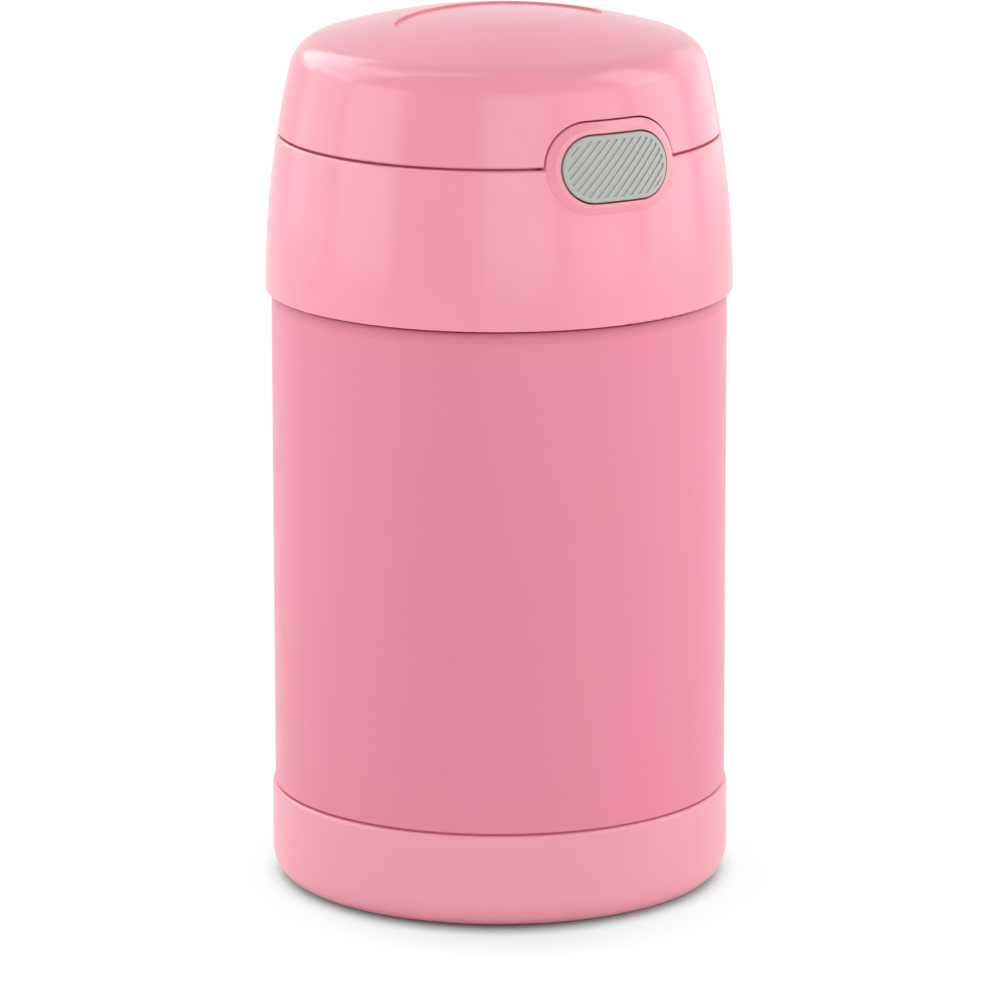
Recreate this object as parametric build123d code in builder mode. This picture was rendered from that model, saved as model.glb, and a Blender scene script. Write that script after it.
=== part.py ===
from build123d import *
from math import sqrt
import os

# Vacuum insulated food jar: a double steel body, and a screw lid whose hinged cover is let go by a push
# button and keeps a folding spoon.
# Millimetres. Origin at the centre of the underside, +Z up, button towards -Y, cover hinge towards +Y.

# ---- steel body ----
shell_radius = 44.55  # outside of the painted outer shell
shell_wall = 0.6
rim_height = 136.0  # mouth of the jar
neck_step = 5.65  # from the shell in to the neck
neck_rounding = 1.5
shoulder_rounding = 0.9
neck_vacuum_gap = 1.2
vessel_wall = 0.5
vessel_floor_height = 14.5
vessel_corner = 9.0
rim_flange = 0.6
floor_vacuum_gap = 6.4  # from the bottom plate to the underside of the vessel
plate_flange = 4.0
seal_dimple_radius = 4.0
seal_dimple_depth = 1.0
getter_radius = 5.0
getter_thickness = 2.2
getter_offset = 20.0

# ---- base cup ----
base_height = 18.65
base_overhang = 0.52  # how far it stands out from the shell
base_wall = 1.4
base_floor = 1.6
base_recess = 1.0  # hollow under the floor, inside the standing ring
base_corner_out = 4.3
base_corner_up = 5.6
base_rim_rounding = 0.7
standing_ring_width = 8.0
base_rib_wall = 2.0
groove_height = 0.2  # open line between the base cup and the painted shell
glue_line = 0.05

# ---- screw thread between neck and lid ----
thread_lead = 8.0
thread_depth = 1.2
thread_root = 3.0  # height of a ridge where it stands on its wall
thread_crest = 1.8
thread_turns = 1.1
thread_gap = 0.35  # from a crest to the wall across from it
flank_gap = 0.3
thread_drop = 11.4  # from the rim down to the middle of the neck ridge's lower end
thread_root_sink = 0.3
skirt_margin = 0.2

# ---- lid outline, shared by collar, cover, button boss and button ----
lid_overlap = 18.0  # from the rim down to the collar's lower edge
lid_overhang = 1.17  # how far the collar stands out from the shell
lid_side_arc = 201.6  # radius of the side, seen from the front
lid_side_drop = 1.0  # the side is upright this far under the collar's lower edge
seam_rise = 12.45  # from the rim up to the top of the collar
seam_gap = 0.5
lid_rise = 36.7  # from the rim up to the top of the cover
dome_arc = 121.0
crest_rounding = 7.6
edge_break = 0.3
recess_width = 44.5  # plain shallow recess on the cover's top
recess_length = 25.0
recess_depth = 0.45

# ---- lid walls ----
shoulder_cover = 0.1  # the shoulder stands this far up inside the collar
collar_wall = 2.0
collar_lip_wall = 0.95
collar_lip_height = 2.2
collar_lip_rounding = 0.3
collar_deck = 1.5
cover_wall = 1.8
liner_wall = 1.2
liner_gap = 0.05
liner_clearance = 0.3
liner_drop = 1.75  # how far the liner reaches down inside the collar
stopper_wall = 1.45
stopper_deck = 1.5
plug_gap = 0.7  # between the plug and the mouth of the vessel
plug_depth = 9.6
plug_corner = 3.0
bead_height = 0.9
bead_reach = 0.45
seal_thickness = 1.85
seal_reach = 0.1  # the seal covers the rim and this much more
seal_gap = 0.3
seal_play = 0.15

# ---- button and its boss ----
button_drop = 0.14  # centre of the button under the top of the collar
button_width = 22.9
button_tall = 12.5
button_gap = 0.35
button_proud = 0.3  # the button's face stands this far out of the face of the boss
button_travel = 2.0
button_edge = 0.3
boss_width = 28.1
boss_tall = 17.3
boss_proud = 1.0
boss_slope = 1.35
boss_step = 0.15  # upright foot of the slope round the boss
boss_thickness = 4.0  # from the collar's side surface in to the flat back of the boss
notch_gap = 0.35
pad_thickness = 2.8  # under the collar's side surface, at the middle of the button
rib_pitch = 1.3
rib_groove = 0.58
rib_groove_depth = 0.25
rib_angle = 45.0
pad_rim = 0.9

# ---- latch ----
flange_thickness = 1.4
flange_gap = 0.3
flange_reach = 0.5
flange_trim = 0.25
slider_arm = 2.0
slider_height = 3.2
slider_window = 10.4
slider_lift = 0.2
latch_bar = 2.0
latch_engagement = 1.2  # how far the hook's nose reaches under the bar
hook_width = 9.2
hook_thickness = 1.8
hook_front_gap = 1.9  # between the hook and the button when the button is pressed
hook_bar_gap = 1.6
hook_nose_height = 2.0
hook_gap = 0.2
hook_foot_drop = 11.7  # from the top of the cover down to the underside of the hook's foot
spigot_radius = 1.2
spigot_length = 2.0
spring_offset = 10.0
spring_coil_radius = 1.8
spring_wire = 0.5
spring_turns = 5
spring_room = 7.9
retainer_wall = 1.4
retainer_floor = 1.0
retainer_height = 11.0
retainer_span = 27.2
guide_gap = 0.3

# ---- cover hinge ----
hinge_inset = 0.6  # from the collar's side surface in to the pin
pin_radius = 1.0
pin_length = 26.6
pin_end_gap = 0.1
knuckle_radius = 2.7
knuckle_swing_gap = 0.4
pin_running_gap = 0.05
pin_press_gap = 0.01
collar_knuckle_start = 9.2
collar_knuckle_end = 13.0
cover_knuckle_start = 5.2
cover_knuckle_end = 8.9
hinge_web_height = 2.5
hinge_web_out = 0.9
hinge_spring_coil = 1.75
hinge_spring_wire = 0.6
hinge_spring_span = 8.4
hinge_spring_turns = 8
hinge_spring_leg = 2.0

# ---- spoon tray and folding spoon ----
tray_gap = 0.65
tray_floor = 1.2
tray_wall = 1.0
tray_wall_height = 3.0
tray_front_gap = 1.0
spoon_line = 4.0  # the spoon lies along X at this Y
spoon_end_gap = 6.3  # from the fold pin to the tray's wall
bowl_end_gap = 4.3
spoon_neck_length = 22.0
bowl_share = 0.7  # width of the bowl over its length
bowl_depth = 9.0
bowl_wall = 1.0
spoon_rest_gap = 0.3
fold_pin_radius = 1.2
fold_head_radius = 2.0
fold_head = 0.6
fold_knuckle = 2.6
fold_gap = 0.05
spoon_neck_width = 8.0
spoon_thickness = 1.5
ear_thickness = 2.0
handle_end_width = 16.0
handle_gap = 0.35
handle_corner = 5.0
post_wall = 1.5
post_length = 4.0
post_reach = 13.0  # from the fold pin to the middle of the posts that hold the spoon's neck
post_gap = 0.3

# ---- radii and levels that follow ----
base_radius = shell_radius + base_overhang
seat_radius = base_radius - base_wall - glue_line
neck_radius = shell_radius - neck_step
vessel_outer = neck_radius - shell_wall - neck_vacuum_gap
vessel_radius = vessel_outer - vessel_wall
flange_bottom = rim_height - rim_flange
cup_floor_top = base_recess + base_floor
shell_step_height = base_height + groove_height
plate_top = vessel_floor_height - vessel_wall - floor_vacuum_gap
plate_bottom = plate_top - shell_wall

lid_bottom = rim_height - lid_overlap
shoulder_height = lid_bottom + shoulder_cover
lid_side_level = lid_bottom - lid_side_drop
lid_widest = shell_radius + lid_overhang
seam_height = rim_height + seam_rise
lid_top = rim_height + lid_rise
cover_bottom = seam_height + seam_gap
side_centre = lid_widest - lid_side_arc
dome_centre = lid_top - dome_arc

neck_thread_level = rim_height - thread_drop
lid_thread_level = neck_thread_level - (thread_root + thread_crest) / 2 - flank_gap
skirt_inner = neck_radius + thread_depth + thread_gap
skirt_outer = skirt_inner + stopper_wall
skirt_bottom = lid_thread_level - thread_root / 2 - skirt_margin
plug_radius = vessel_radius - plug_gap
plug_bottom = rim_height - plug_depth
seal_bottom = rim_height + seal_gap
deck_bottom = seal_bottom + seal_thickness + seal_play
stopper_top = deck_bottom + stopper_deck
collar_deck_bottom = stopper_top + glue_line
compartment_floor = collar_deck_bottom + collar_deck


def side_radius(level, inset=0.0):
    """Radius of the lid's side at a height, for a surface that lies inset under the outside."""
    return side_centre + sqrt((lid_side_arc - inset) ** 2 - (level - lid_side_level) ** 2)


liner_radius = side_radius(seam_height, collar_wall) - liner_clearance
liner_bottom = cover_bottom - liner_drop
liner_inset = cover_wall + liner_gap
hinge_height = seam_height + seam_gap / 2
hinge_offset = side_radius(hinge_height) - hinge_inset
swing_radius = knuckle_radius + knuckle_swing_gap
knuckle_zone = pin_length / 2 + pin_end_gap

button_height = seam_height - button_drop
boss_depth = side_radius(button_height) - boss_thickness
pad_back = side_radius(button_height) - pad_thickness
flange_front = boss_depth - flange_gap
flange_back = flange_front - flange_thickness
slider_bottom = button_height - slider_height / 2 + slider_lift
hook_front = flange_back - button_travel - hook_front_gap
hook_back = hook_front - hook_thickness
nose_end = hook_back - hook_bar_gap - latch_engagement
nose_top = slider_bottom - hook_gap
bar_front = hook_back - hook_bar_gap
bar_back = bar_front - latch_bar
spring_seat = flange_back - spring_room
window_half = slider_window / 2

tray_radius = liner_radius - tray_gap
tray_bottom = compartment_floor + glue_line
tray_top = tray_bottom + tray_floor
tray_front = spring_seat - retainer_wall - tray_front_gap
tray_reach = tray_radius - tray_wall
fold_pin_offset = tray_reach - spoon_end_gap
bowl_length = fold_pin_offset - spoon_neck_length + tray_reach - bowl_end_gap
bowl_width = bowl_share * bowl_length
bowl_centre = fold_pin_offset - spoon_neck_length - bowl_length / 2
bowl_rim = tray_top + spoon_rest_gap + bowl_depth
fold_level = bowl_rim - spoon_thickness / 2
handle_bottom = fold_level + fold_knuckle + handle_gap
ear_inner = spoon_neck_width / 2 + fold_gap
ear_outer = ear_inner + ear_thickness


def corner(section, radius, level):
    """Corner of a section that lies nearest to a radius and a height."""
    return section.vertices().sort_by_distance((radius, level, 0))[0]


def lid_profile(inset, low, edge=0.0):
    """Half section of the space inside the lid's outline, pulled in by inset, from the height low up."""
    crest_level = lid_top - crest_rounding
    crest_radius = side_radius(crest_level, inset)
    for _ in range(12):
        crest_level = dome_centre + sqrt((dome_arc - inset) ** 2 - crest_radius**2)
        crest_radius = side_radius(crest_level, inset)
    side_level = (low + crest_level) / 2
    dome_level = dome_centre + sqrt((dome_arc - inset) ** 2 - (crest_radius / 2) ** 2)
    with BuildSketch(Plane.XZ) as section:
        with BuildLine():
            Line((0, low), (side_radius(low, inset), low))
            ThreePointArc(
                (side_radius(low, inset), low),
                (side_radius(side_level, inset), side_level),
                (crest_radius, crest_level),
            )
            ThreePointArc((crest_radius, crest_level), (crest_radius / 2, dome_level), (0, lid_top - inset))
            Line((0, lid_top - inset), (0, low))
        make_face()
        fillet(corner(section, crest_radius, crest_level), crest_rounding - inset)
        if edge > 0:
            chamfer(corner(section, side_radius(low, inset), low), edge)
    return section.sketch


def block(x_limits, y_limits, z_limits):
    """Plain block between three pairs of limits."""
    with BuildPart() as piece:
        with BuildSketch(Plane.XY.offset(z_limits[0])):
            with Locations((sum(x_limits) / 2, sum(y_limits) / 2)):
                Rectangle(x_limits[1] - x_limits[0], y_limits[1] - y_limits[0])
        extrude(amount=z_limits[1] - z_limits[0])
    return piece.part


def front_plane(distance, level=button_height):
    """Plane that faces the front, at a distance in front of the axis, centred on a height."""
    return Plane(origin=(0, -distance, level), x_dir=(1, 0, 0), z_dir=(0, -1, 0))


def thread_helix(radius, level):
    """Helix of a thread ridge, from its lower end up."""
    with BuildLine() as helix:
        Helix(thread_lead, thread_lead * thread_turns, radius, center=(0, 0, level))
    return helix.line


def ridge_profile(helix, side):
    """Section of a thread ridge at the start of its helix: side 1 stands outwards, -1 inwards."""
    with BuildSketch(Plane(origin=helix @ 0, x_dir=(1, 0, 0), z_dir=helix % 0)) as section:
        with BuildLine():
            Polyline(
                (-side * thread_root_sink, -thread_root / 2),
                (0, -thread_root / 2),
                (side * thread_depth, -thread_crest / 2),
                (side * thread_depth, thread_crest / 2),
                (0, thread_root / 2),
                (-side * thread_root_sink, thread_root / 2),
                close=True,
            )
        make_face()
    return section.sketch


def hinge_rod(start, end, radius):
    """Round bar on the hinge axis, from one X to another."""
    with BuildPart() as rod:
        with BuildSketch(Plane(origin=(start, hinge_offset, hinge_height), z_dir=(1, 0, 0))):
            Circle(radius)
        extrude(amount=end - start)
    return rod.part


def mirrored_pair(start, end):
    """Limits of a stretch along X and of its mirror image."""
    return ((start, end), (-end, -start))


# ================= steel body =================
with BuildPart() as outer_shell:
    with BuildSketch(Plane.XZ) as section:
        with BuildLine():
            Polyline(
                (seat_radius - shell_wall, plate_bottom),
                (seat_radius, plate_bottom),
                (seat_radius, shell_step_height),
                (shell_radius, shell_step_height + edge_break),
                (shell_radius, shoulder_height),
                (neck_radius, shoulder_height),
                (neck_radius, flange_bottom),
                (neck_radius - shell_wall, flange_bottom),
                (neck_radius - shell_wall, shoulder_height - shell_wall),
                (shell_radius - shell_wall, shoulder_height - shell_wall),
                (shell_radius - shell_wall, shell_step_height + edge_break),
                (seat_radius - shell_wall, shell_step_height),
                close=True,
            )
        make_face()
        fillet(corner(section, shell_radius, shoulder_height), shoulder_rounding)
        fillet(
            corner(section, shell_radius - shell_wall, shoulder_height - shell_wall),
            shoulder_rounding - shell_wall,
        )
        fillet(corner(section, neck_radius, shoulder_height), neck_rounding)
        fillet(
            corner(section, neck_radius - shell_wall, shoulder_height - shell_wall),
            neck_rounding + shell_wall,
        )
    revolve(axis=Axis.Z)
    neck_helix = thread_helix(neck_radius, neck_thread_level)
    sweep(ridge_profile(neck_helix, 1), path=neck_helix, is_frenet=True)
outer_shell.part.label = "outer_shell"

with BuildPart() as shell_bottom:
    with BuildSketch(Plane.XZ):
        with BuildLine():
            Polyline(
                (0, plate_bottom + seal_dimple_depth),
                (seal_dimple_radius, plate_bottom + seal_dimple_depth),
                (seal_dimple_radius, plate_bottom),
                (seat_radius - shell_wall, plate_bottom),
                (seat_radius - shell_wall, plate_bottom + plate_flange),
                (seat_radius - 2 * shell_wall, plate_bottom + plate_flange),
                (seat_radius - 2 * shell_wall, plate_top),
                (seal_dimple_radius + shell_wall, plate_top),
                (seal_dimple_radius + shell_wall, plate_top + seal_dimple_depth),
                (0, plate_top + seal_dimple_depth),
                close=True,
            )
        make_face()
    revolve(axis=Axis.Z)
shell_bottom.part.label = "shell_bottom"

with BuildPart() as vacuum_seal:
    with BuildSketch(Plane.XY.offset(plate_bottom)):
        Circle(seal_dimple_radius)
    extrude(amount=seal_dimple_depth)
    fillet(vacuum_seal.edges().group_by(Axis.Z)[0], seal_dimple_depth / 2)
vacuum_seal.part.label = "vacuum_seal"

with BuildPart() as inner_vessel:
    with BuildSketch(Plane.XZ) as section:
        with BuildLine():
            Polyline(
                (0, vessel_floor_height - vessel_wall),
                (vessel_outer, vessel_floor_height - vessel_wall),
                (vessel_outer, flange_bottom),
                (neck_radius, flange_bottom),
                (neck_radius, rim_height),
                (vessel_radius, rim_height),
                (vessel_radius, vessel_floor_height),
                (0, vessel_floor_height),
                close=True,
            )
        make_face()
        fillet(corner(section, vessel_outer, vessel_floor_height - vessel_wall), vessel_corner + vessel_wall)
        fillet(corner(section, vessel_radius, vessel_floor_height), vessel_corner)
        fillet(corner(section, vessel_radius, rim_height), rim_flange * 0.7)
        fillet(corner(section, neck_radius, rim_height), rim_flange * 0.4)
    revolve(axis=Axis.Z)
inner_vessel.part.label = "inner_vessel"

with BuildPart() as getter:
    with BuildSketch(Plane.XY.offset(plate_top)):
        with Locations((getter_offset, 0)):
            Circle(getter_radius)
    extrude(amount=getter_thickness)
    chamfer(getter.edges().group_by(Axis.Z)[-1], getter_thickness / 4)
getter.part.label = "getter"

# ================= base cup =================
with BuildPart() as base_cup:
    ring_outer = base_radius - base_corner_out
    ring_inner = ring_outer - standing_ring_width
    cup_inner = seat_radius + glue_line
    rib_outer = ring_outer - base_wall
    with BuildSketch(Plane.XZ) as section:
        with BuildLine():
            Polyline(
                (0, base_recess),
                (ring_inner - base_recess, base_recess),
                (ring_inner, 0),
                (ring_outer, 0),
            )
            EllipticalCenterArc(
                (ring_outer, base_corner_up), base_corner_out, base_corner_up, start_angle=270, arc_size=90
            )
            Polyline(
                (base_radius, base_corner_up),
                (base_radius, base_height),
                (cup_inner, base_height),
                (cup_inner, plate_bottom),
                (rib_outer, cup_floor_top),
                (0, cup_floor_top),
                (0, base_recess),
            )
        make_face()
        fillet(corner(section, base_radius, base_height), base_rim_rounding)
    revolve(axis=Axis.Z)
    with BuildSketch(Plane.XY.offset(cup_floor_top)):
        Circle(rib_outer)
        Circle(rib_outer - base_rib_wall, mode=Mode.SUBTRACT)
    extrude(amount=plate_bottom - cup_floor_top - glue_line)
base_cup.part.label = "base_cup"

# ================= stopper: threaded skirt and insulated plug =================
with BuildPart() as stopper_shell:
    bead_top = rim_height - bead_height / 2
    with BuildSketch(Plane.XZ) as section:
        with BuildLine():
            Polyline(
                (0, plug_bottom),
                (plug_radius, plug_bottom),
                (plug_radius, bead_top - bead_height),
                (plug_radius + bead_reach, bead_top - bead_height / 2),
                (plug_radius, bead_top),
                (plug_radius, deck_bottom),
                (skirt_inner, deck_bottom),
                (skirt_inner, skirt_bottom),
                (skirt_outer, skirt_bottom),
                (skirt_outer, stopper_top),
                (plug_radius - stopper_wall, stopper_top),
                (plug_radius - stopper_wall, plug_bottom + stopper_wall),
                (0, plug_bottom + stopper_wall),
                close=True,
            )
        make_face()
        fillet(corner(section, plug_radius, plug_bottom), plug_corner)
        fillet(
            corner(section, plug_radius - stopper_wall, plug_bottom + stopper_wall),
            plug_corner - stopper_wall,
        )
    revolve(axis=Axis.Z)
    lid_helix = thread_helix(skirt_inner, lid_thread_level)
    sweep(ridge_profile(lid_helix, -1), path=lid_helix, is_frenet=True)
stopper_shell.part.label = "stopper_shell"

with BuildPart() as insulating_foam:
    with BuildSketch(Plane.XY.offset(plug_bottom + stopper_wall + glue_line)):
        Circle(plug_radius - stopper_wall - glue_line)
    extrude(amount=stopper_top - plug_bottom - stopper_wall - glue_line)
    fillet(insulating_foam.edges().group_by(Axis.Z)[0], plug_corner - stopper_wall)
insulating_foam.part.label = "insulating_foam"

with BuildPart() as lid_seal:
    with BuildSketch(Plane.XZ) as section:
        with BuildLine():
            Polyline(
                (plug_radius + seal_play, seal_bottom),
                (neck_radius + seal_reach, seal_bottom),
                (neck_radius + seal_reach, seal_bottom + seal_thickness),
                (plug_radius + seal_play, seal_bottom + seal_thickness),
                close=True,
            )
        make_face()
        fillet(section.vertices(), seal_thickness / 5)
    revolve(axis=Axis.Z)
lid_seal.part.label = "lid_seal"

# ================= collar with the button boss and two hinge knuckles =================
with BuildPart() as button_boss:
    revolve(lid_profile(-boss_proud, lid_bottom), axis=Axis.Z)
    with BuildSketch(front_plane(boss_depth)):
        SlotOverall(boss_width, boss_tall)
    extrude(amount=lid_widest, mode=Mode.INTERSECT)
    boss_face = button_boss.faces().sort_by(Axis.Y)[0]
    chamfer(boss_face.outer_wire().edges(), boss_slope, boss_proud - boss_step, reference=boss_face)
    with Locations((0, 0, lid_bottom)):
        Cylinder(
            side_radius(compartment_floor, collar_wall),
            compartment_floor - lid_bottom,
            align=(Align.CENTER, Align.CENTER, Align.MIN),
            mode=Mode.SUBTRACT,
        )

with BuildPart() as lid_collar:
    lip_inner = side_radius(lid_bottom) - collar_lip_wall
    lip_top = lid_bottom + collar_lip_height
    wall_start = lip_top + collar_wall
    under_deck = (wall_start + collar_deck_bottom) / 2
    over_deck = (compartment_floor + seam_height) / 2
    outside = (lid_bottom + seam_height) / 2
    with BuildSketch(Plane.XZ) as section:
        with BuildLine():
            ThreePointArc(
                (side_radius(lid_bottom), lid_bottom),
                (side_radius(outside), outside),
                (side_radius(seam_height), seam_height),
            )
            Line(
                (side_radius(seam_height), seam_height),
                (side_radius(seam_height, collar_wall), seam_height),
            )
            ThreePointArc(
                (side_radius(seam_height, collar_wall), seam_height),
                (side_radius(over_deck, collar_wall), over_deck),
                (side_radius(compartment_floor, collar_wall), compartment_floor),
            )
            Polyline(
                (side_radius(compartment_floor, collar_wall), compartment_floor),
                (0, compartment_floor),
                (0, collar_deck_bottom),
                (side_radius(collar_deck_bottom, collar_wall), collar_deck_bottom),
            )
            ThreePointArc(
                (side_radius(collar_deck_bottom, collar_wall), collar_deck_bottom),
                (side_radius(under_deck, collar_wall), under_deck),
                (side_radius(wall_start, collar_wall), wall_start),
            )
            Polyline(
                (side_radius(wall_start, collar_wall), wall_start),
                (lip_inner, lip_top),
                (lip_inner, lid_bottom),
                (side_radius(lid_bottom), lid_bottom),
            )
        make_face()
        fillet(corner(section, side_radius(lid_bottom), lid_bottom), collar_lip_rounding)
        chamfer(corner(section, side_radius(seam_height), seam_height), edge_break)
    revolve(axis=Axis.Z)
    add(button_boss.part)
    with BuildSketch(front_plane(boss_depth - 2 * flange_gap)):
        SlotOverall(button_width + 2 * button_gap, button_tall + 2 * button_gap)
    extrude(amount=lid_widest, mode=Mode.SUBTRACT)
    add(hinge_rod(-knuckle_zone, knuckle_zone, swing_radius), mode=Mode.SUBTRACT)
    for stretch in mirrored_pair(collar_knuckle_start, collar_knuckle_end):
        add(hinge_rod(*stretch, knuckle_radius))
        web_depth = (hinge_offset - knuckle_radius, hinge_offset + hinge_web_out)
        add(block(stretch, web_depth, (hinge_height - knuckle_radius - hinge_web_height, hinge_height)))
    add(hinge_rod(-pin_length / 2, pin_length / 2, pin_radius + pin_press_gap), mode=Mode.SUBTRACT)
lid_collar.part.label = "lid_collar"

with BuildPart() as hinge_pin:
    add(hinge_rod(-pin_length / 2, pin_length / 2, pin_radius))
    chamfer(hinge_pin.edges().filter_by(GeomType.CIRCLE), pin_radius / 5)
hinge_pin.part.label = "hinge_pin"

with BuildPart() as hinge_spring:
    with BuildLine() as winding:
        coil = Helix(
            hinge_spring_span / hinge_spring_turns,
            hinge_spring_span,
            hinge_spring_coil,
            center=(-hinge_spring_span / 2, hinge_offset, hinge_height),
            direction=(1, 0, 0),
        )
        Line(coil @ 0 - coil % 0 * hinge_spring_leg, coil @ 0)
        Line(coil @ 1, coil @ 1 + coil % 1 * hinge_spring_leg)
    winding_wire = winding.wires()[0]
    with BuildSketch(Plane(origin=winding_wire @ 0, z_dir=winding_wire % 0)):
        Circle(hinge_spring_wire / 2)
    sweep(path=winding_wire, is_frenet=True)
hinge_spring.part.label = "hinge_spring"

# ================= hinged cover =================
with BuildPart() as cover_recess:
    with BuildSketch(Plane.XY.offset(lid_top - crest_rounding)):
        Ellipse(recess_width / 2, recess_length / 2)
    extrude(amount=2 * crest_rounding)
    revolve(lid_profile(recess_depth, cover_bottom), axis=Axis.Z, mode=Mode.SUBTRACT)

with BuildPart() as cover_webs:
    for stretch in mirrored_pair(cover_knuckle_start, cover_knuckle_end):
        web_depth = (hinge_offset - knuckle_radius, hinge_offset + hinge_web_out)
        add(block(stretch, web_depth, (hinge_height, hinge_height + knuckle_radius + hinge_web_height)))
    revolve(lid_profile(-knuckle_swing_gap, lid_bottom), axis=Axis.Z, mode=Mode.INTERSECT)

with BuildPart() as top_cover:
    revolve(lid_profile(0, cover_bottom, edge_break), axis=Axis.Z)
    revolve(lid_profile(cover_wall, liner_bottom), axis=Axis.Z, mode=Mode.SUBTRACT)
    with BuildSketch(front_plane(boss_depth - boss_thickness)):
        SlotOverall(boss_width + 2 * notch_gap, boss_tall + 2 * notch_gap)
    extrude(amount=lid_widest, mode=Mode.SUBTRACT)
    add(cover_recess.part, mode=Mode.SUBTRACT)
    add(hinge_rod(-knuckle_zone, knuckle_zone, swing_radius), mode=Mode.SUBTRACT)
    add(cover_webs.part)
    for stretch in mirrored_pair(cover_knuckle_start, cover_knuckle_end):
        add(hinge_rod(*stretch, knuckle_radius))
    add(hinge_rod(-pin_length / 2, pin_length / 2, pin_radius + pin_running_gap), mode=Mode.SUBTRACT)
top_cover.part.label = "top_cover"

with BuildPart() as liner_hollow:
    revolve(lid_profile(liner_inset + liner_wall, liner_bottom), axis=Axis.Z)
    with Locations((0, 0, liner_bottom)):
        Cylinder(
            liner_radius - liner_wall,
            lid_top,
            align=(Align.CENTER, Align.CENTER, Align.MIN),
            mode=Mode.INTERSECT,
        )

with BuildPart() as cover_liner:
    front_half = boss_width / 2 + 2 * notch_gap
    front_top = button_height + boss_tall / 2 + 2 * notch_gap
    hinge_front = hinge_offset - swing_radius - notch_gap
    hinge_top = hinge_height + swing_radius + hinge_web_height
    revolve(lid_profile(liner_inset, liner_bottom), axis=Axis.Z)
    with Locations((0, 0, liner_bottom)):
        Cylinder(liner_radius, lid_top, align=(Align.CENTER, Align.CENTER, Align.MIN), mode=Mode.INTERSECT)
    add(liner_hollow.part, mode=Mode.SUBTRACT)
    add(
        block((-front_half, front_half), (-lid_widest, -spring_seat), (compartment_floor, front_top)),
        mode=Mode.SUBTRACT,
    )
    add(
        block((-knuckle_zone, knuckle_zone), (hinge_front, lid_widest), (compartment_floor, hinge_top)),
        mode=Mode.SUBTRACT,
    )
cover_liner.part.label = "cover_liner"

with BuildPart() as latch_hook:
    hook_half = hook_width / 2
    foot_half = hook_half + hook_thickness
    foot_level = lid_top - hook_foot_drop
    nose_bottom = nose_top - hook_nose_height
    add(block((-hook_half, hook_half), (-hook_front, -hook_back), (button_height, lid_top)))
    add(block((-foot_half, foot_half), (-hook_front - 1, -hook_back + hook_thickness), (foot_level, lid_top)))
    add(liner_hollow.part, mode=Mode.INTERSECT)
    add(block((-hook_half, hook_half), (-hook_front, -hook_back), (nose_bottom, button_height)))
    add(block((-hook_half, hook_half), (-hook_back, -nose_end), (nose_bottom, nose_top)))
    nose_edge = latch_hook.edges().filter_by(Axis.X).group_by(Axis.Z)[0].sort_by(Axis.Y)[-1]
    chamfer(nose_edge, hook_nose_height * 0.6)
latch_hook.part.label = "latch_hook"

# ================= push button =================
with BuildPart() as button_pad:
    pad_inset = -boss_proud - button_proud
    revolve(lid_profile(pad_inset, lid_bottom), axis=Axis.Z)
    with BuildSketch(front_plane(pad_back)):
        SlotOverall(button_width, button_tall)
    extrude(amount=lid_widest, mode=Mode.INTERSECT)
    fillet(button_pad.faces().sort_by(Axis.Y)[0].outer_wire().edges(), button_edge)
    with BuildSketch(front_plane(pad_back)):
        with Locations(Rotation(0, 0, rib_angle)):
            with GridLocations(1, rib_pitch, 1, int(button_width / rib_pitch)):
                Rectangle(2 * button_width, rib_groove)
        SlotOverall(button_width - 2 * pad_rim, button_tall - 2 * pad_rim, mode=Mode.INTERSECT)
    grooves = extrude(amount=lid_widest, mode=Mode.PRIVATE)
    groove_profile = lid_profile(pad_inset + rib_groove_depth, lid_bottom)
    grooves -= revolve(groove_profile, axis=Axis.Z, mode=Mode.PRIVATE)
    add(grooves, mode=Mode.SUBTRACT)
button_pad.part.label = "button_pad"

with BuildPart() as button_body:
    with BuildSketch(front_plane(flange_front)):
        SlotOverall(button_width, button_tall)
    extrude(amount=pad_back - flange_front)
    with BuildSketch(front_plane(flange_back)):
        SlotOverall(button_width + 2 * (button_gap + flange_reach), button_tall - flange_trim)
    extrude(amount=flange_thickness)
    slider_levels = (slider_bottom, slider_bottom + slider_height)
    arm_outer = window_half + slider_arm
    for stretch in mirrored_pair(window_half, arm_outer):
        add(block(stretch, (-flange_back, -bar_back), slider_levels))
    add(block((-arm_outer, arm_outer), (-bar_front, -bar_back), slider_levels))
    with BuildSketch(front_plane(flange_back - spigot_length)):
        for side in (-1, 1):
            with Locations((side * spring_offset, 0)):
                Circle(spigot_radius)
    extrude(amount=spigot_length)
button_body.part.label = "button_body"

with BuildPart() as button_springs:
    spring_ends = (flange_back - spring_wire / 2 - glue_line, spring_seat + spring_wire / 2 + glue_line)
    spring_length = spring_ends[0] - spring_ends[1]
    for side in (-1, 1):
        with BuildLine() as winding:
            Helix(
                spring_length / spring_turns,
                spring_length,
                spring_coil_radius,
                center=(side * spring_offset, -spring_ends[0], button_height),
                direction=(0, 1, 0),
            )
        with BuildSketch(Plane(origin=winding.line @ 0, z_dir=winding.line % 0)):
            Circle(spring_wire / 2)
        sweep(path=winding.line, is_frenet=True)
button_springs.part.label = "button_springs"

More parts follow.
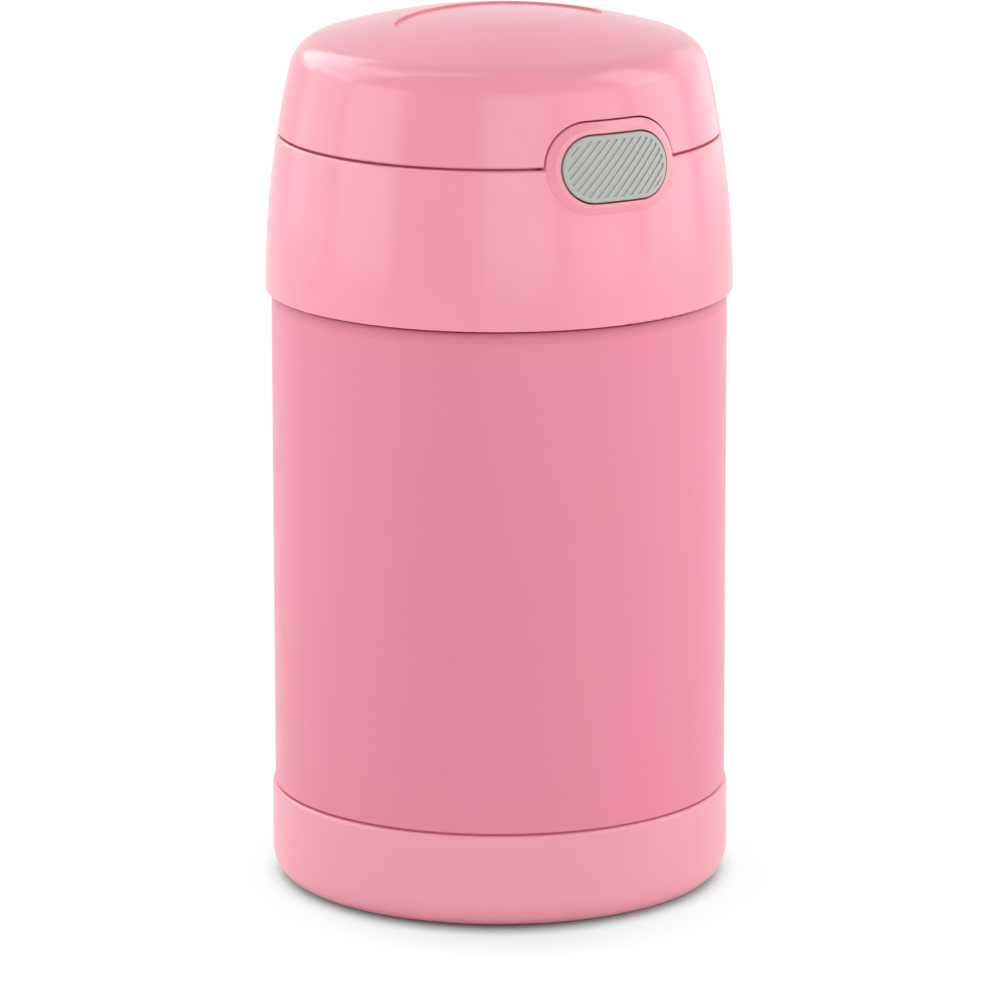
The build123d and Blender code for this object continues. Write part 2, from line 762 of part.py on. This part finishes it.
with BuildPart() as button_retainer:
    retainer_bottom = compartment_floor + glue_line
    retainer_half = retainer_span / 2
    retainer_front = -(flange_back - button_travel - guide_gap)
    retainer_back = -(spring_seat - retainer_wall)
    floor_levels = (retainer_bottom, retainer_bottom + retainer_floor)
    wall_levels = (retainer_bottom, retainer_bottom + retainer_height)
    add(block((-retainer_half, retainer_half), (retainer_front, retainer_back), floor_levels))
    for stretch in mirrored_pair(arm_outer + guide_gap, retainer_half):
        add(block(stretch, (-spring_seat, retainer_back), wall_levels))
    for stretch in mirrored_pair(retainer_half - retainer_wall, retainer_half):
        add(block(stretch, (retainer_front, retainer_back), wall_levels))
button_retainer.part.label = "button_retainer"

# ================= spoon tray and folding spoon =================
with BuildPart() as spoon_tray:
    with BuildSketch(Plane.XY.offset(tray_bottom)) as tray_outline:
        Circle(tray_radius)
        with Locations((0, -tray_front - tray_radius)):
            Rectangle(2 * tray_radius, 2 * tray_radius, mode=Mode.SUBTRACT)
    extrude(amount=tray_floor)
    with BuildSketch(Plane.XY.offset(tray_top)):
        Circle(tray_radius)
        Circle(tray_radius - tray_wall, mode=Mode.SUBTRACT)
        with Locations((0, -tray_front - tray_radius)):
            Rectangle(2 * tray_radius, 2 * tray_radius, mode=Mode.SUBTRACT)
    extrude(amount=tray_wall_height)
    post_x = fold_pin_offset - post_reach
    post_inner = spoon_neck_width / 2 + post_gap
    for low, high in mirrored_pair(post_inner, post_inner + post_wall):
        add(
            block(
                (post_x - post_length / 2, post_x + post_length / 2),
                (spoon_line + low, spoon_line + high),
                (tray_top, fold_level),
            )
        )
spoon_tray.part.label = "spoon_tray"


def bowl_form(inset):
    """Solid with the outline of the spoon's bowl, pulled in by inset and rounded off towards the bottom."""
    with BuildPart() as form:
        for share in (0.0, 0.45, 0.8, 0.96):
            spread = sqrt(1 - share**2)
            with BuildSketch(Plane.XY.offset(bowl_rim - share * (bowl_depth - inset))):
                with Locations((bowl_centre, spoon_line)):
                    Ellipse(spread * (bowl_length / 2 - inset), spread * (bowl_width / 2 - inset))
        loft()
    return form.part


def fold_disc(low, high, radius):
    """Round bar on the spoon's fold axis, from one distance off the spoon's line to another."""
    with BuildPart() as disc:
        with BuildSketch(Plane(origin=(fold_pin_offset, spoon_line + low, fold_level), z_dir=(0, 1, 0))):
            Circle(radius)
        extrude(amount=high - low)
    return disc.part


with BuildPart() as spoon_bowl:
    neck_half = spoon_neck_width / 2
    neck_start = bowl_centre + bowl_length / 2 - 2 * bowl_wall
    add(bowl_form(0))
    add(bowl_form(bowl_wall), mode=Mode.SUBTRACT)
    add(
        block(
            (neck_start, fold_pin_offset),
            (spoon_line - neck_half, spoon_line + neck_half),
            (bowl_rim - spoon_thickness, bowl_rim),
        )
    )
    add(fold_disc(-neck_half, neck_half, fold_knuckle))
    add(fold_disc(-neck_half, neck_half, fold_pin_radius + fold_gap), mode=Mode.SUBTRACT)
spoon_bowl.part.label = "spoon_bowl"

with BuildPart() as spoon_handle:
    with BuildSketch(Plane.XY.offset(handle_bottom)) as plate:
        with BuildLine():
            Polyline(
                (fold_pin_offset + fold_knuckle, spoon_line - ear_outer),
                (fold_pin_offset + fold_knuckle, spoon_line + ear_outer),
                (-fold_pin_offset, spoon_line + handle_end_width / 2),
                (-fold_pin_offset, spoon_line - handle_end_width / 2),
                close=True,
            )
        make_face()
        fillet(plate.vertices().group_by(Axis.X)[0], handle_corner)
    extrude(amount=spoon_thickness)
    for low, high in mirrored_pair(ear_inner, ear_outer):
        add(fold_disc(low, high, fold_knuckle))
        add(
            block(
                (fold_pin_offset - fold_knuckle, fold_pin_offset + fold_knuckle),
                (spoon_line + low, spoon_line + high),
                (fold_level, handle_bottom),
            )
        )
    add(fold_disc(-ear_outer, ear_outer, fold_pin_radius + fold_gap), mode=Mode.SUBTRACT)
spoon_handle.part.label = "spoon_handle"

with BuildPart() as spoon_rivet:
    rivet_half = ear_outer + fold_gap
    add(fold_disc(-rivet_half, rivet_half, fold_pin_radius))
    for low, high in mirrored_pair(rivet_half, rivet_half + fold_head):
        add(fold_disc(low, high, fold_head_radius))
spoon_rivet.part.label = "spoon_rivet"

# ================= one file for each piece =================
os.makedirs("parts", exist_ok=True)
for piece in (
    outer_shell,
    shell_bottom,
    vacuum_seal,
    inner_vessel,
    getter,
    base_cup,
    stopper_shell,
    insulating_foam,
    lid_seal,
    lid_collar,
    hinge_pin,
    hinge_spring,
    top_cover,
    cover_liner,
    latch_hook,
    button_pad,
    button_body,
    button_springs,
    button_retainer,
    spoon_tray,
    spoon_bowl,
    spoon_handle,
    spoon_rivet,
):
    export_step(piece.part, f"parts/{piece.part.label}.step")
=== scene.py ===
import math

import bpy
from mathutils import Matrix, Vector


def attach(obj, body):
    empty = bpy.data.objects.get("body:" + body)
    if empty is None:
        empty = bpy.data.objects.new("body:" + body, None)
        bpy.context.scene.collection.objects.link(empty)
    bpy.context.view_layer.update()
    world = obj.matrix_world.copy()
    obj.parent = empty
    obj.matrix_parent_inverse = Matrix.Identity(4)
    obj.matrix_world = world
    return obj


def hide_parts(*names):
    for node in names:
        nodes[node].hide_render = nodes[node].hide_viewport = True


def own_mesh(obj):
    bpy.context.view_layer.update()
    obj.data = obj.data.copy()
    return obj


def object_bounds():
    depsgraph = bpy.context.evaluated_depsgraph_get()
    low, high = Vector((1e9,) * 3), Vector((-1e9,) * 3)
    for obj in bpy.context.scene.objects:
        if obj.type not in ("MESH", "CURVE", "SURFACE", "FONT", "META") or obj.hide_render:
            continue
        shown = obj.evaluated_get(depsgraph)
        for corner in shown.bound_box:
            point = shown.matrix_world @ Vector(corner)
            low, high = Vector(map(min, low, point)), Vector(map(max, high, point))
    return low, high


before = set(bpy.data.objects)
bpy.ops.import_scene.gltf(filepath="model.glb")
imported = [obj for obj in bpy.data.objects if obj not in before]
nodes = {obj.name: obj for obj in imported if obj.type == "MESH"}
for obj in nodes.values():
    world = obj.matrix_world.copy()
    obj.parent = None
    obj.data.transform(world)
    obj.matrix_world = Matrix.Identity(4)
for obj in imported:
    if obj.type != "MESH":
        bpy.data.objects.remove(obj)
cad_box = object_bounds()

# Lengths are in metres, angles in degrees and colours linear, unless a line says otherwise.

# ---- camera, set as the photograph was taken ----
EYE_TURN = -30.8
EYE_PITCH = 13.138
EYE_ROLL = -0.072
EYE_DISTANCE = 1.3294  # level distance to the jar's axis
EYE_HEIGHT = 0.3851
EYE_SHIFT = 0.000118  # to the camera's right
LENS = 249.36  # mm
SENSOR = 36.0  # mm
CLIP_NEAR = 0.05
CLIP_FAR = 50.0

# ---- studio ----
LAMPS = (  # name, turn from the camera, height, distance, width, tall, radiance
    ("left_back", -142, 0.75, 1.1, 0.6, 0.7, 2.6),
    ("left_top", -100, 1.2, 0.42, 0.25, 0.6, 1.8),
    ("left_high", -110, 1.05, 1.1, 0.7, 0.9, 2.04),
    ("left_low", -110, 0.25, 1.1, 0.7, 0.9, 1.12),
    ("left_front", -70, 0.25, 1.1, 0.7, 0.9, 1.90),
    ("front", 10, 0.25, 1.1, 0.7, 0.9, 1.68),
    ("right_front", 50, 0.25, 1.1, 0.7, 0.9, 1.25),
    ("right_low", 95, 0.25, 1.1, 0.7, 0.9, 1.66),
    ("right_high", 95, 1.05, 1.1, 0.7, 0.9, 2.17),
    ("right_back", 140, 0.25, 1.1, 0.7, 0.9, 0.75),
)
WORLD_LEVEL = 0.37  # light of the world, which is seen as plain white
FLOOR_SIZE = 8.0
FLOOR_COLOUR = 0.88
FLOOR_WHITE = 1.05
FLOOR_SHARE = 0.9  # how much of the seen floor is plain white and not lit
CONTACT = ((0.006, 2.6), (0.03, 1.0))  # reach and strength of the shade where the jar stands
CONTACT_LEAN = 1.5  # how level the two side lights are that open this shade
CONTACT_SAMPLES = 4

# ---- colours ----
PAINT = (0.772, 0.235, 0.324)
PINK = (0.905, 0.322, 0.397)
# painted shade: the cover's pink is the lid's pink made a few percent darker, for the cover's
# upward-sloping side
SHADED_COVER_PINK = (0.88, 0.308, 0.382)
CUP_PINK = (0.85, 0.333, 0.409)
GREY = (0.442, 0.453, 0.425)
WHITE = (0.72, 0.72, 0.70)
SILICONE = (0.62, 0.62, 0.60)
STEEL = (0.62, 0.61, 0.59)
SPRING_STEEL = (0.496, 0.488, 0.472)
FOAM = ((0.55, 0.50, 0.40), (0.80, 0.76, 0.66))
GLASS = ((0.05, 0.055, 0.06), (0.12, 0.13, 0.14))
GETTER = ((0.08, 0.08, 0.085), (0.2, 0.2, 0.21))

# ---- surfaces: scales are per metre ----
NOISE_MIDDLE = (0.3, 0.7)  # where nearly all of a noise lies

MOULD_DRIFT_SCALE = 35.0
MOULD_GLOSS_SCALE = 220.0
MOULD_GLOSS_SPREAD = 0.03  # no large form's roughness crosses 0.27, or the denoiser leaves blotches

PAINT_TOP = 0.1179  # the paint ends on the shoulder, under the lid's edge
PAINT_DRIFT_SCALE = 18.0
PAINT_DRIFT = 0.015
PAINT_GLOSS_SCALE = 160.0
PAINT_GLOSS = (0.31, 0.37)
PEEL_SCALE = 700.0
PEEL_DEPTH = 0.000008
SPECK_SCALE = 2600.0
SPECK_SHARE = 0.06
SPECK_LIGHTER = 1.3
SPECK_DEPTH = 0.000002
PAINTED_SHADE_COLOUR = (0.26, 0.003, 0.01)  # painted shade: the paint's colour right under the lid's edge, where the lid's overhang shades it
PAINTED_SHADE_REACH = 0.003
PAINTED_SHADE_STRENGTH = 3.2
PAINTED_SHADE_HEIGHTS = (0.05, 0.1)  # from none to full strength
PAINTED_SHADE_SAMPLES = 8

TURNED = {  # steel sheet drawn and brushed round the jar's axis
    "scales": (30, 30, 5200),
    "detail": 3.0,
    "noise_roughness": 0.6,
    "shades": (0.92, 1.08),
    "gloss_spread": (-0.06, 0.08),
    "depth": 0.000004,
}
POLISHED = {  # polished steel with faint lines along X, as on the spoon
    "scales": (40, 4200, 4200),
    "detail": 2.0,
    "noise_roughness": 0.5,
    "shades": (0.95, 1.1),
    "gloss_spread": (-0.05, 0.06),
    "depth": 0.000003,
}


# ================= shader nodes =================
def new_material(name):
    made = bpy.data.materials.new(name)
    made.use_nodes = True
    return made, made.node_tree, made.node_tree.nodes["Principled BSDF"]


def add_node(tree, kind, inputs=None, **settings):
    made = tree.nodes.new(kind)
    for key, value in settings.items():
        setattr(made, key, value)
    for key, value in (inputs or {}).items():
        made.inputs[key].default_value = value
    return made


def maths(tree, operation, first, second):
    """Result of an operation on a socket and another socket or a number."""
    made = add_node(tree, "ShaderNodeMath", operation=operation)
    tree.links.new(first, made.inputs[0])
    if isinstance(second, float):
        made.inputs[1].default_value = second
    else:
        tree.links.new(second, made.inputs[1])
    return made.outputs[0]


def object_place(tree, scales=(1, 1, 1)):
    """Place on the object in metres, times a scale for each axis."""
    place = add_node(tree, "ShaderNodeTexCoord")
    mapping = add_node(tree, "ShaderNodeMapping", {"Scale": scales})
    tree.links.new(place.outputs["Object"], mapping.inputs["Vector"])
    return mapping.outputs["Vector"]


def noise(tree, place, scale, detail=2.0, roughness=0.5):
    settings = {"Scale": scale, "Detail": detail, "Roughness": roughness}
    made = add_node(tree, "ShaderNodeTexNoise", settings)
    tree.links.new(place, made.inputs["Vector"])
    return made.outputs["Fac"]


def cells(tree, place, scale):
    made = add_node(tree, "ShaderNodeTexVoronoi", {"Scale": scale})
    tree.links.new(place, made.inputs["Vector"])
    return made.outputs["Distance"]


def ranged(tree, value, low, high, span=NOISE_MIDDLE):
    """The part of a value within a span, spread over low to high."""
    limits = {"From Min": span[0], "From Max": span[1], "To Min": low, "To Max": high}
    made = add_node(tree, "ShaderNodeMapRange", limits)
    tree.links.new(value, made.inputs["Value"])
    return made.outputs["Result"]


def mixed(tree, factor, first, second):
    """Colour between two colours or sockets."""
    made = add_node(tree, "ShaderNodeMix", data_type="RGBA")
    tree.links.new(factor, made.inputs["Factor"])
    for key, value in (("A", first), ("B", second)):
        socket = [s for s in made.inputs if s.name == key and s.type == "RGBA"][0]
        if isinstance(value, tuple):
            socket.default_value = (*value, 1)
        else:
            tree.links.new(value, socket)
    return [s for s in made.outputs if s.type == "RGBA"][0]


def bumped(tree, shader, height, depth, normal=None):
    """Bump on a shader, over another bump's normal where one is given."""
    made = add_node(tree, "ShaderNodeBump", {"Strength": 1.0, "Distance": depth})
    tree.links.new(height, made.inputs["Height"])
    if normal:
        tree.links.new(normal, made.inputs["Normal"])
    tree.links.new(made.outputs["Normal"], shader.inputs["Normal"])
    return made.outputs["Normal"]


def shaded(colour, factor):
    return tuple(min(1.0, c * factor) for c in colour)


def varied(tree, value, colour, low, high):
    """Colour that follows a noise between two shades."""
    return mixed(tree, ranged(tree, value, 0.0, 1.0), shaded(colour, low), shaded(colour, high))


# ================= materials =================
def moulded(name, colour, roughness, grain=0.0006, depth=0.000006, specular=0.5, mottle=0.02):
    """Moulded plastic: slow colour drift, a fine grain and a slightly uneven gloss."""
    made, tree, shader = new_material(name)
    place = object_place(tree)
    drift = noise(tree, place, MOULD_DRIFT_SCALE)
    tree.links.new(varied(tree, drift, colour, 1 - mottle, 1 + mottle), shader.inputs["Base Color"])
    low, high = roughness - MOULD_GLOSS_SPREAD, roughness + MOULD_GLOSS_SPREAD
    gloss = ranged(tree, noise(tree, place, MOULD_GLOSS_SCALE), low, high)
    tree.links.new(gloss, shader.inputs["Roughness"])
    shader.inputs["Specular IOR Level"].default_value = specular
    bumped(tree, shader, noise(tree, place, 1 / grain, detail=1.0), depth)
    return made


def brush_lines(tree, brush):
    place = object_place(tree, brush["scales"])
    return noise(tree, place, 1.0, brush["detail"], brush["noise_roughness"])


def brushed(name, brush, colour, roughness):
    """Steel with the lines of a brush in its colour, its gloss and its surface."""
    made, tree, shader = new_material(name)
    lines = brush_lines(tree, brush)
    tree.links.new(varied(tree, lines, colour, *brush["shades"]), shader.inputs["Base Color"])
    smoother, rougher = brush["gloss_spread"]
    gloss = ranged(tree, lines, roughness + smoother, roughness + rougher)
    tree.links.new(gloss, shader.inputs["Roughness"])
    shader.inputs["Metallic"].default_value = 1.0
    bumped(tree, shader, lines, brush["depth"])
    return made


def painted_shade_under_edge(tree, height, colour):
    """The colour with painted shade: darker high on the shell and close under the lid's edge, where
    the lid's overhang shades it.
    """
    near = add_node(
        tree, "ShaderNodeAmbientOcclusion", {"Distance": PAINTED_SHADE_REACH}, samples=PAINTED_SHADE_SAMPLES
    )
    strength = ranged(tree, height, 0.0, PAINTED_SHADE_STRENGTH, PAINTED_SHADE_HEIGHTS)
    return mixed(tree, maths(tree, "POWER", near.outputs["AO"], strength), PAINTED_SHADE_COLOUR, colour)


def painted():
    """Baked paint on sheet steel: orange peel, tiny specks and painted shade close under the lid's
    edge. Over PAINT_TOP the steel is bare.
    """
    made, tree, shader = new_material("paint_on_steel")
    place = object_place(tree)
    axes = add_node(tree, "ShaderNodeSeparateXYZ")
    tree.links.new(place, axes.inputs[0])
    height = axes.outputs["Z"]
    drift = noise(tree, place, PAINT_DRIFT_SCALE)
    base = varied(tree, drift, PAINT, 1 - PAINT_DRIFT, 1 + PAINT_DRIFT)
    speck = noise(tree, place, SPECK_SCALE, detail=0.0)
    share = ranged(tree, speck, 0.0, SPECK_SHARE)
    # painted shade: the paint darkens by ambient occlusion close under the lid's edge
    paint_with_painted_shade = painted_shade_under_edge(tree, height, mixed(tree, share, base, shaded(PAINT, SPECK_LIGHTER)))
    steel_colour = varied(tree, brush_lines(tree, TURNED), STEEL, *TURNED["shades"])
    bare = maths(tree, "GREATER_THAN", height, PAINT_TOP)
    tree.links.new(mixed(tree, bare, paint_with_painted_shade, steel_colour), shader.inputs["Base Color"])
    tree.links.new(bare, shader.inputs["Metallic"])
    gloss = ranged(tree, noise(tree, place, PAINT_GLOSS_SCALE), *PAINT_GLOSS)
    tree.links.new(gloss, shader.inputs["Roughness"])
    peel = bumped(tree, shader, noise(tree, place, PEEL_SCALE, detail=1.5), PEEL_DEPTH)
    bumped(tree, shader, speck, SPECK_DEPTH, peel)
    return made


def speckled(name, colours, pattern, scale, bump_scale, roughness, depth):
    """Two colours mixed by a pattern, on a surface bumped by the same kind of pattern."""
    made, tree, shader = new_material(name)
    place = object_place(tree)
    tone = ranged(tree, pattern(tree, place, scale), 0.0, 1.0)
    tree.links.new(mixed(tree, tone, *colours), shader.inputs["Base Color"])
    shader.inputs["Roughness"].default_value = roughness
    bumped(tree, shader, pattern(tree, place, bump_scale), depth)
    return made


def dress(finish, *names):
    """Gives a material to the CAD's nodes."""
    for name in names:
        nodes[name].data.materials.clear()
        nodes[name].data.materials.append(finish)


def dress_all():
    lid_pink = moulded("pink_plastic", PINK, roughness=0.2)
    white = moulded("white_plastic", WHITE, roughness=0.42)
    silicone = moulded(
        "silicone", SILICONE, roughness=0.55, grain=0.0012, depth=0.00001, specular=0.35
    )
    vessel_steel = brushed("drawn_steel", TURNED, STEEL, roughness=0.3)
    spoon_steel = brushed("spoon_steel", POLISHED, STEEL, roughness=0.24)
    spring_steel = brushed("spring_steel", POLISHED, SPRING_STEEL, roughness=0.32)
    foam = speckled(
        "rigid_foam", FOAM, cells, scale=1400.0, bump_scale=1400.0, roughness=0.9, depth=0.0002
    )
    glass = speckled(
        "sealing_glass", GLASS, noise, scale=900.0, bump_scale=500.0, roughness=0.12, depth=0.00003
    )
    pellet = speckled(
        "pressed_pellet", GETTER, noise,
        scale=2400.0, bump_scale=2400.0, roughness=0.75, depth=0.00003,
    )
    dress(painted(), "outer_shell")
    dress(moulded("cup_plastic", CUP_PINK, roughness=0.32), "base_cup")
    # the cover wears the lid's plastic with painted shade, a darker copy of its pink
    dress(moulded("cover_plastic_shaded", SHADED_COVER_PINK, roughness=0.2), "top_cover")
    dress(lid_pink, "lid_collar", "cover_liner", "latch_hook")
    dress(moulded("grey_plastic", GREY, roughness=0.45, mottle=0.015), "button_pad")
    dress(white, "stopper_shell", "button_body", "button_retainer", "spoon_tray")
    dress(silicone, "lid_seal")
    dress(vessel_steel, "shell_bottom", "inner_vessel")
    dress(spoon_steel, "spoon_bowl", "spoon_handle", "spoon_rivet", "hinge_pin")
    dress(spring_steel, "hinge_spring", "button_springs")
    dress(foam, "insulating_foam")
    dress(glass, "vacuum_seal")
    dress(pellet, "getter")


# ================= the button's springs =================
def make_button_coils():
    """The button's springs as a piece of their own, carried by the lid, on its seat in the
    retainer.
    """
    coils = bpy.data.objects.new("button_coils", nodes["button_springs"].data.copy())
    bpy.context.scene.collection.objects.link(coils)
    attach(coils, "lid")
    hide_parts("button_springs")
    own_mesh(coils)


# ================= camera, lamps, world and floor =================
def turned(angle):
    """Level direction from the jar's axis at an angle from the front, 0 for -Y and 90 for +X."""
    a = math.radians(angle)
    return Vector((math.sin(a), -math.cos(a), 0))


def make_camera():
    back = turned(EYE_TURN)
    right = Vector((-back.y, back.x, 0))
    up = Vector((0, 0, 1))
    pitch = math.radians(EYE_PITCH)
    ahead = -back * math.cos(pitch) - up * math.sin(pitch)
    head = -back * math.sin(pitch) + up * math.cos(pitch)
    roll = Matrix.Rotation(math.radians(EYE_ROLL), 3, "Z")
    basis = Matrix((right, head, -ahead)).transposed() @ roll
    data = bpy.data.cameras.new("camera")
    data.lens = LENS
    data.sensor_width = SENSOR
    data.clip_start = CLIP_NEAR
    data.clip_end = CLIP_FAR
    camera = bpy.data.objects.new("camera", data)
    place = back * EYE_DISTANCE + right * EYE_SHIFT + up * EYE_HEIGHT
    camera.matrix_world = Matrix.Translation(place) @ basis.to_4x4()
    bpy.context.scene.collection.objects.link(camera)
    bpy.context.scene.camera = camera


def make_lamp(name, place, target, width, tall, radiance):
    """Soft box that faces a point, with a plain radiance."""
    data = bpy.data.lights.new(name, "AREA")
    data.shape = "RECTANGLE"
    data.size = width
    data.size_y = tall
    data.energy = radiance * math.pi * width * tall
    lamp = bpy.data.objects.new(name, data)
    lamp.location = place
    lamp.rotation_mode = "QUATERNION"
    lamp.rotation_quaternion = (target - place).to_track_quat("-Z", "Y")
    bpy.context.scene.collection.objects.link(lamp)


def make_lamps():
    middle = Vector((0, 0, (cad_box[1].z + cad_box[0].z) / 2))
    for name, turn, height, distance, width, tall, radiance in LAMPS:
        place = turned(EYE_TURN + turn) * distance + Vector((0, 0, height))
        make_lamp(name, place, middle, width, tall, radiance)


def seen_directly(tree):
    """1 for the rays that show the background: seen, mirrored or through glass."""
    path = add_node(tree, "ShaderNodeLightPath")
    total = path.outputs["Is Camera Ray"]
    for kind in ("Is Glossy Ray", "Is Transmission Ray"):
        total = maths(tree, "MAXIMUM", total, path.outputs[kind])
    return total


def make_world():
    world = bpy.data.worlds.new("studio")
    bpy.context.scene.world = world
    world.use_nodes = True
    tree = world.node_tree
    background = tree.nodes["Background"]
    level = ranged(tree, seen_directly(tree), WORLD_LEVEL, 1.0, (0.0, 1.0))
    tree.links.new(level, background.inputs["Strength"])
    background.inputs["Color"].default_value = (1, 1, 1, 1)


def opened(tree, reach):
    """Share of the light that comes in from the brighter of the photograph's two sides."""
    shares = []
    for side in (-90, 90):
        lean = (turned(EYE_TURN + side) * CONTACT_LEAN + Vector((0, 0, 1))).normalized()
        facing = add_node(tree, "ShaderNodeCombineXYZ", {"X": lean.x, "Y": lean.y, "Z": lean.z})
        near = add_node(
            tree, "ShaderNodeAmbientOcclusion", {"Distance": reach}, samples=CONTACT_SAMPLES
        )
        tree.links.new(facing.outputs[0], near.inputs["Normal"])
        shares.append(near.outputs["AO"])
    return maths(tree, "MAXIMUM", *shares)


def make_floor():
    """White floor that takes a little of the light and shows the shade where the jar stands."""
    bpy.ops.mesh.primitive_plane_add(size=FLOOR_SIZE)
    floor = bpy.context.object
    floor.name = "floor"
    made = bpy.data.materials.new("floor")
    made.use_nodes = True
    tree = made.node_tree
    tree.nodes.clear()
    output = add_node(tree, "ShaderNodeOutputMaterial")
    matte = add_node(tree, "ShaderNodeBsdfDiffuse", {"Color": (FLOOR_COLOUR,) * 3 + (1,)})
    white = add_node(tree, "ShaderNodeEmission")
    level = add_node(tree, "ShaderNodeValue").outputs[0]
    level.default_value = FLOOR_WHITE
    for reach, strength in CONTACT:
        shade = maths(tree, "POWER", opened(tree, reach), strength)
        level = maths(tree, "MULTIPLY", level, shade)
    tree.links.new(level, white.inputs["Strength"])
    share = maths(tree, "MULTIPLY", seen_directly(tree), FLOOR_SHARE)
    both = add_node(tree, "ShaderNodeMixShader")
    for index, socket in enumerate((share, matte.outputs[0], white.outputs[0])):
        tree.links.new(socket, both.inputs[index])
    tree.links.new(both.outputs[0], output.inputs["Surface"])
    floor.data.materials.append(made)


dress_all()
make_button_coils()
make_camera()
make_lamps()
make_world()
make_floor()
bpy.context.scene.view_settings.view_transform = "Standard"
